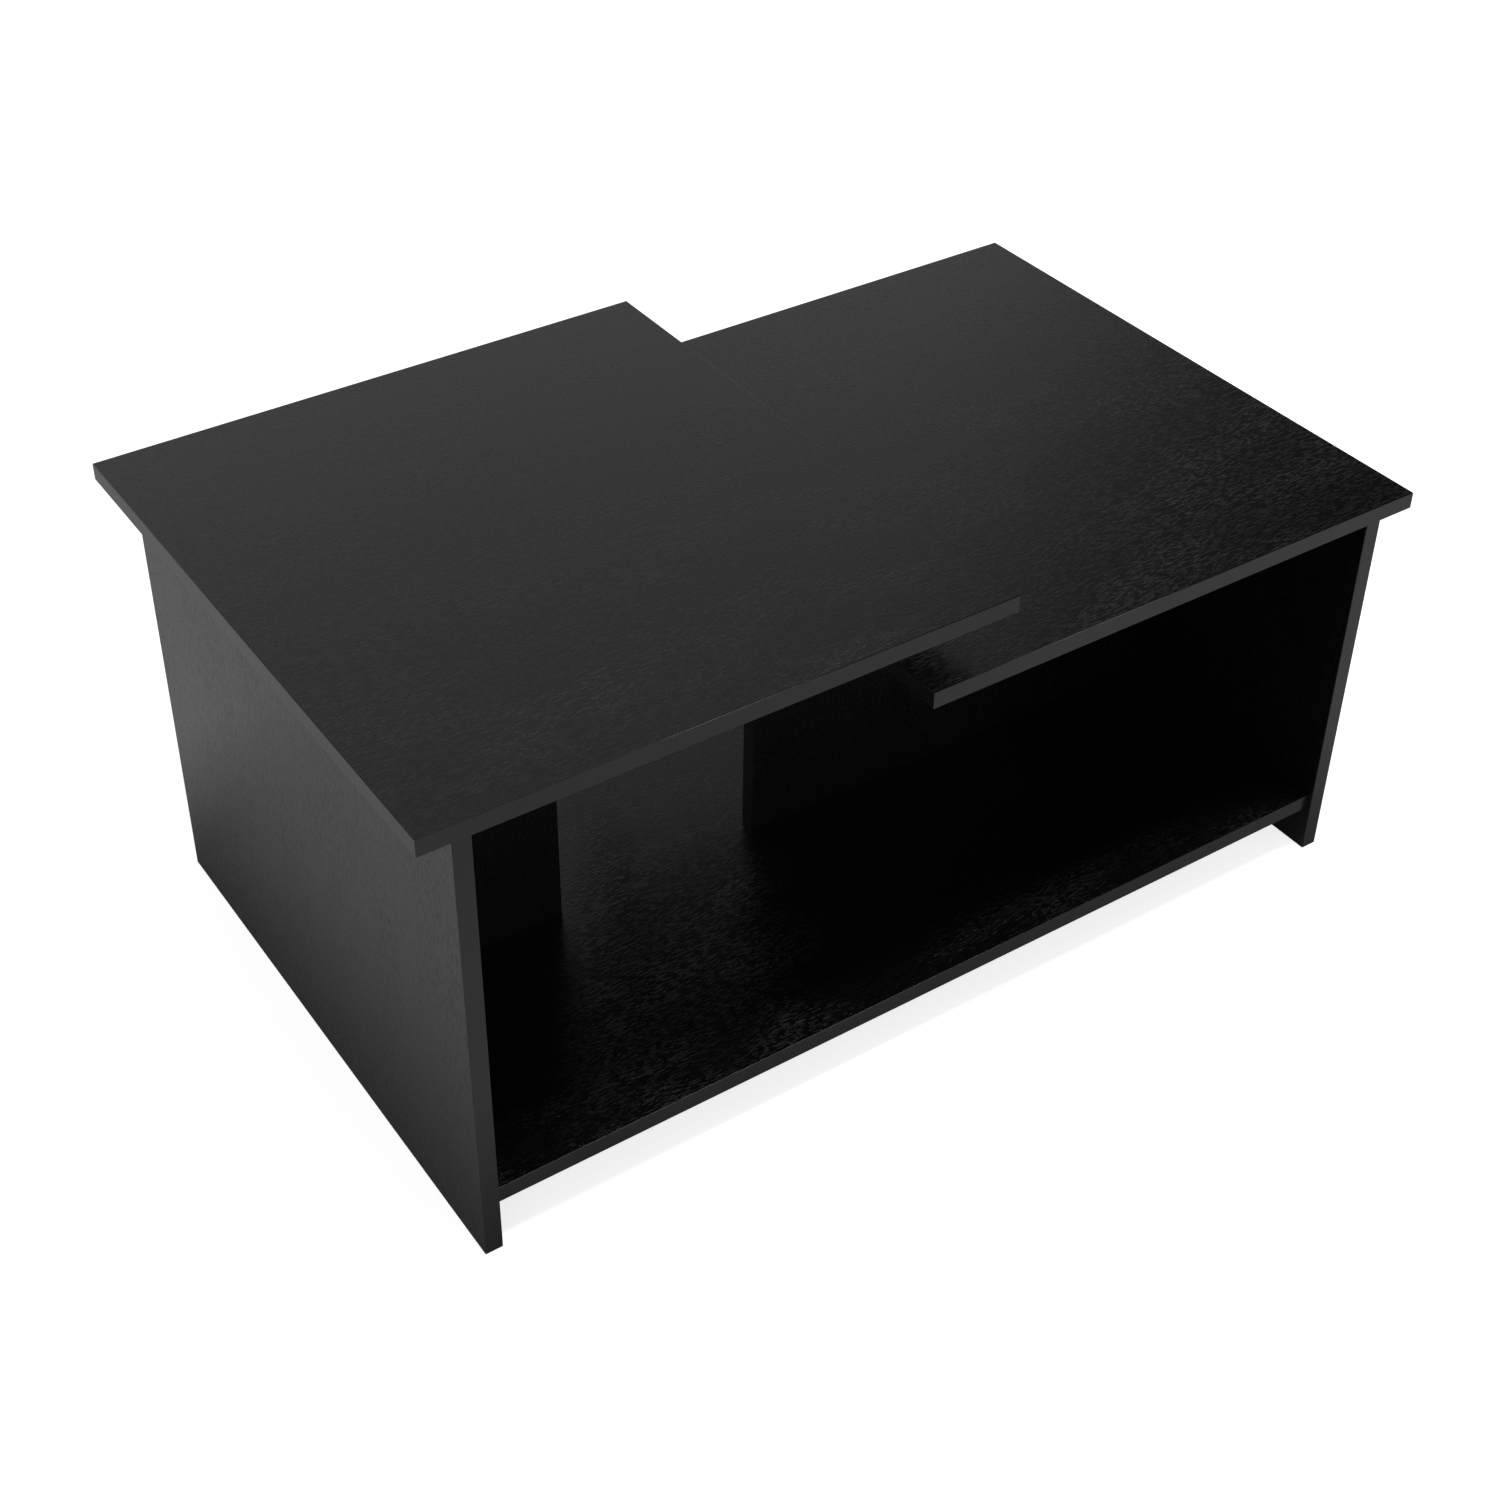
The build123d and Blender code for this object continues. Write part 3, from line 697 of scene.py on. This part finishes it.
add_rivets("arm_pivot_pins", "root", pin_radius, pin_head_height)
add_rivets("top_pivot_pins", "lift_top", pin_radius, pin_head_height, both_ends=True)
add_rivets("spring_anchor_studs", "root", stud_radius, stud_head_height)
add_rivets("spring_arm_studs", "rear_arms", stud_radius, stud_head_height)

bumper_low, bumper_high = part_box("top_bumpers")
bumper_height = bumper_high.z - bumper_low.z
bumper_rim = bumper_rim_share * bumper_height
bumper_dome = dome(bumper_rim, (1 - bumper_rim_share) * bumper_height, bumper_radius)
bumper = turned(*steps((0, 0), (0, bumper_radius), *bumper_dome), 36)
bumper_ends = []
for solid in solids_of("top_bumpers"):
    foot, head = wide_to_narrow(solid, axis=2)
    bumper_ends.append((foot, head) if foot[2] < head[2] else (head, foot))
bumper_faces = grid_faces(*bumper.shape[:2])
add_piece("top_bumpers_domed", copies_of(bumper, bumper_ends), bumper_faces, "root", ["top_bumpers"])

# %% [markdown]
# ## Springs
# An extension spring is a wire carried round a helix, with a loop at each end. The wire's section is a
# circle, set across the helix at every step: one direction points out from the coil's axis, the other is
# square to it and to the wire. Near each end the helix narrows onto the axis, where the wire runs into its
# loop. As the top rises the spring shortens; the coil is built to its length in the frame and set on the
# spring's own body. Its loops are pieces of their own, because they keep their shape: one stays on the base
# plate's stud, and the other travels with the arm's stud.

# %% Springs
wire_radius = 0.7 * mm
wire_sides = 10
coil_radius = 3.2 * mm
coil_turns = 34
steps_per_turn = 18
run_in_turns = 0.9
loop_radius = 4.0 * mm
loop_steps = 40


def coil_grid(length):
    """A wire about a coil whose axis runs along X from 0 to length. Angle and distance grow together. The
    radius is the coil's, times the square root of turns from the nearer end / run-in turns, at most 1."""
    turns = np.linspace(0, coil_turns, coil_turns * steps_per_turn + 1)[:, None, None]
    around = np.arange(wire_sides)[None, :, None] * tau / wire_sides
    from_end = np.minimum(turns, coil_turns - turns)
    reach = coil_radius * np.clip(from_end / run_in_turns, 0, 1) ** 0.5
    out = np.concatenate([0 * turns, np.cos(tau * turns), np.sin(tau * turns)], -1)
    line = np.concatenate([length * turns / coil_turns, reach * out[..., 1:2], reach * out[..., 2:]], -1)
    ahead = np.gradient(line, axis=0)
    ahead /= np.linalg.norm(ahead, axis=-1, keepdims=True)
    side = np.cross(ahead, out)
    side /= np.linalg.norm(side, axis=-1, keepdims=True)
    outward = np.cross(side, ahead)
    return line + wire_radius * (np.cos(around) * outward + np.sin(around) * side)


def capped(grid):
    """The same grid with a row at each end drawn together into a point, which closes the wire."""
    first = np.broadcast_to(grid[:1].mean(1, keepdims=True), grid[:1].shape)
    last = np.broadcast_to(grid[-1:].mean(1, keepdims=True), grid[-1:].shape)
    return np.concatenate([first, grid, last])


def loop_grid(centre):
    """A ring of wire round a stud that lies along X."""
    turn = np.arange(loop_steps)[:, None] * tau / loop_steps
    around = np.arange(wire_sides)[None, :] * tau / wire_sides
    reach = loop_radius + wire_radius * np.cos(around)
    points = (wire_radius * np.sin(around) + 0 * turn, reach * np.cos(turn), reach * np.sin(turn))
    return np.stack(np.broadcast_arrays(*points), -1).reshape(-1, 3) + centre


anchors, arm_studs = {}, {}
for found, node in ((anchors, "spring_anchor_studs"), (arm_studs, "spring_arm_studs")):
    low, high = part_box(node)
    for solid in solids_of(node):
        middle = (solid.min(0) + solid.max(0)) / 2
        found["left" if middle[0] < (low.x + high.x) / 2 else "right"] = middle

anchor_loops, arm_loops = [], []
for side in ("left", "right"):
    low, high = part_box("lift_spring_" + side)
    anchor = Vector(anchors[side])
    arm_stud = Vector(arm_studs[side])
    anchor.x = arm_stud.x = (low.x + high.x) / 2
    ahead = (arm_stud - anchor).normalized()
    start = anchor + ahead * loop_radius
    end = arm_stud - ahead * loop_radius
    coil = capped(coil_grid((end - start).length))
    coil_faces = grid_faces(*coil.shape[:2])
    body = "lift_spring_" + side
    piece = add_piece("coil_" + side, copies_of(coil, [(start, end)]), coil_faces, body, [body])
    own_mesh(piece)
    anchor_loops.append(loop_grid(anchor))
    arm_loops.append(loop_grid(arm_stud))

loop_faces = grid_faces(loop_steps, wire_sides, close_rows=True)
add_piece("anchor_loops", np.array(anchor_loops), loop_faces, "root", slot="spring_steel")
add_piece("arm_loops", np.array(arm_loops), loop_faces, "rear_arms", slot="spring_steel")

# %% [markdown]
# ## Stamped and moulded parts
# The arms, plates and brackets are pressed from sheet steel, the cam locks are cast and the bushes are
# moulded. None of them has a knife edge. Their shapes are right already, so each gets a copy of its mesh
# whose loose triangles are joined, and a Bevel modifier that rounds every sharp edge by a little. The edge
# bands are trimmed to a small radius already. Theirs only needs shading that runs evenly round it, so the
# large flat faces are given most of the say in the normals of the edges that they share.

# %% Copies with eased edges
easing = 0.35 * mm
sharp_angle = 35
band_sharp_angle = 60


def eased_copy(node, body, width=None):
    """A copy of a CAD node with joined corners and edges rounded by this width. It replaces the node.
    Without a width the edges stay as they are, and get even shading."""
    mesh = frame["nodes"][node].data.copy()
    join_corners(mesh, flatten=True)
    shade(mesh, sharp_angle if width else band_sharp_angle)
    piece = set_in(node + "_eased", mesh, body, node_slots[node], [node])
    if width:
        rounding = piece.modifiers.new("rounding", "BEVEL")
        rounding.width = width
        rounding.segments = 2
        rounding.angle_limit = radians(40)
        rounding.harden_normals = True
    else:
        piece.modifiers.new("even_shading", "WEIGHTED_NORMAL").keep_sharp = True


eased = {
    "root": (
        "lift_base_plate_left", "lift_base_plate_right", "arm_bushes", "arm_stop_studs", "shelf_cam_locks",
        "fixed_top_cam_locks", "mid_panel_cam_locks", "lift_rail_cam_locks",
    ),
    "rear_arms": ("rear_arm_left", "rear_arm_right", "sync_bar"),
    "front_arm_left": ("front_arm_left",),
    "front_arm_right": ("front_arm_right",),
    "lift_top": ("top_bracket_left", "top_bracket_right"),
}
for body, nodes in eased.items():
    for node in nodes:
        eased_copy(node, body, easing)
bands = [node for node, slot in node_slots.items() if slot == "black_edge_band"]
for node in bands:
    eased_copy(node, "lift_top" if node == "lift_top_edge_band" else "root")
print("eased copies:", sum(len(nodes) for nodes in eased.values()), "bands:", len(bands))

# %% [markdown]
# ## The stage
# A pale floor, a large even light all round, and one soft light high up beyond the right end. A dark gap in
# the even light, up on the right, lets the fixed top fall off into black at its far corner, as black boards
# do beside an unlit part of a room. The boards mirror a painted floor: darker, and with painted shade close
# to the table, where the table would shade it. The camera sees a plain pale floor instead.

# %% Floor
floor_half = 8.0
floor_level = -0.3 * mm
corner_signs = ((-1, -1), (1, -1), (1, 1), (-1, 1))
floor_corners = [(x * floor_half, y * floor_half, floor_level) for x, y in corner_signs]
floor_mesh = bpy.data.meshes.new("floor")
floor_mesh.from_pydata(floor_corners, [], [(0, 1, 2, 3)])
floor = bpy.data.objects.new("floor", floor_mesh)
bpy.context.scene.collection.objects.link(floor)
floor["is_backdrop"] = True

# The floor in the boards' reflections is painted. It has a darker grey and a dimmer glow, and painted shade
# where that glow fades out close to the table's sides, over the distance set here.
painted_shade_start = -0.02
painted_shade_reach = 0.17
seen_glow = 0.78
seen_grey = (0.8, 0.8, 0.8)
painted_reflection_glow = 0.27
painted_reflection_grey = (0.35, 0.35, 0.35)
floor_roughness = 0.9
panel_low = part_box("left_side_panel")[0]
finish = finish_nodes("pale_floor")
mirrored = finish.add("LightPath", {}, {}, "Is Glossy Ray")
along_table = finish.add("SeparateXYZ", {}, {"Vector": finish.place()}, "X")
across_table = finish.add("SeparateXYZ", {}, {"Vector": finish.place()}, "Y")
beside = along_table.size() - abs(panel_low.x)
before = across_table.size() - abs(panel_low.y)
# Painted shade: 0 beside the table and 1 a little way out. It darkens the floor's glow in reflections only.
clear = beside.math("MAXIMUM", beside, before).between(painted_shade_start, painted_shade_reach)
glow = (1.0 - mirrored) * seen_glow + mirrored * clear * painted_reflection_glow
dress(floor, finish.surface({
    "Base Color": finish.mix(mirrored, seen_grey, painted_reflection_grey),
    "Roughness": floor_roughness,
    "Emission Color": finish.mix(glow, (0.0, 0.0, 0.0), (1.0, 1.0, 1.0)),
    "Emission Strength": 1.0,
}))
floor.active_material.cycles.emission_sampling = "NONE"
print("floor, m:", 2 * floor_half)

# %% World and light
studio_light = 0.34
horizon_light = 0.37
horizon_band = (0.40, 0.64)
left_light = 0.15
left_band = (0.15, 0.50)
gap_turn = radians(92)
gap_tilt = radians(30)
gap_inside = cos(radians(38))
gap_outside = cos(radians(45))
studio = bpy.data.worlds.new("studio")
bpy.context.scene.world = studio
sky = Nodes(studio)
way = sky.add("TexCoord", {}, {}, "Generated")
gap_way = (cos(gap_tilt) * sin(gap_turn), cos(gap_tilt) * cos(gap_turn), sin(gap_tilt))
both_ways = {"Vector": way, "Vector_001": gap_way}
toward_gap = sky.add("VectorMath", {"operation": "DOT_PRODUCT"}, both_ways, "Value")
upward = sky.add("SeparateXYZ", {}, {"Vector": way}, "Z")
sideways = sky.add("SeparateXYZ", {}, {"Vector": way}, "X")
level = upward.between(*horizon_band, horizon_light, 0.0) + studio_light
level = level + sideways.between(*left_band, left_light, 0.0)
level = level * toward_gap.between(gap_outside, gap_inside, 1.0, 0.0)
sky_glow = sky.add("Background", {}, {"Strength": level}, "Background")
sky.add("OutputWorld", {}, {"Surface": sky_glow})


def soft_light(name, place, aim, size, power):
    """An area light of this width and depth at a place, turned towards the point it is aimed at."""
    data = bpy.data.lights.new(name, "AREA")
    data.shape = "RECTANGLE"
    data.size, data.size_y = size
    data.energy = power
    light = bpy.data.objects.new(name, data)
    bpy.context.scene.collection.objects.link(light)
    light.location = place
    light.rotation_euler = (Vector(aim) - Vector(place)).to_track_quat("-Z", "Y").to_euler()


overhead_place = (0.94, -0.62, 2.7)
overhead_aim = (0.94, -0.27, 0.42)
overhead_size = (1.4, 0.25)
overhead_power = 24.0
soft_light("overhead_light", overhead_place, overhead_aim, overhead_size, overhead_power)
bpy.context.scene.view_settings.view_transform = "Standard"

# %% Size of the visual box
low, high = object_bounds()
print("visual box, mm:", [round(x / mm, 2) for x in (*low, *high)])
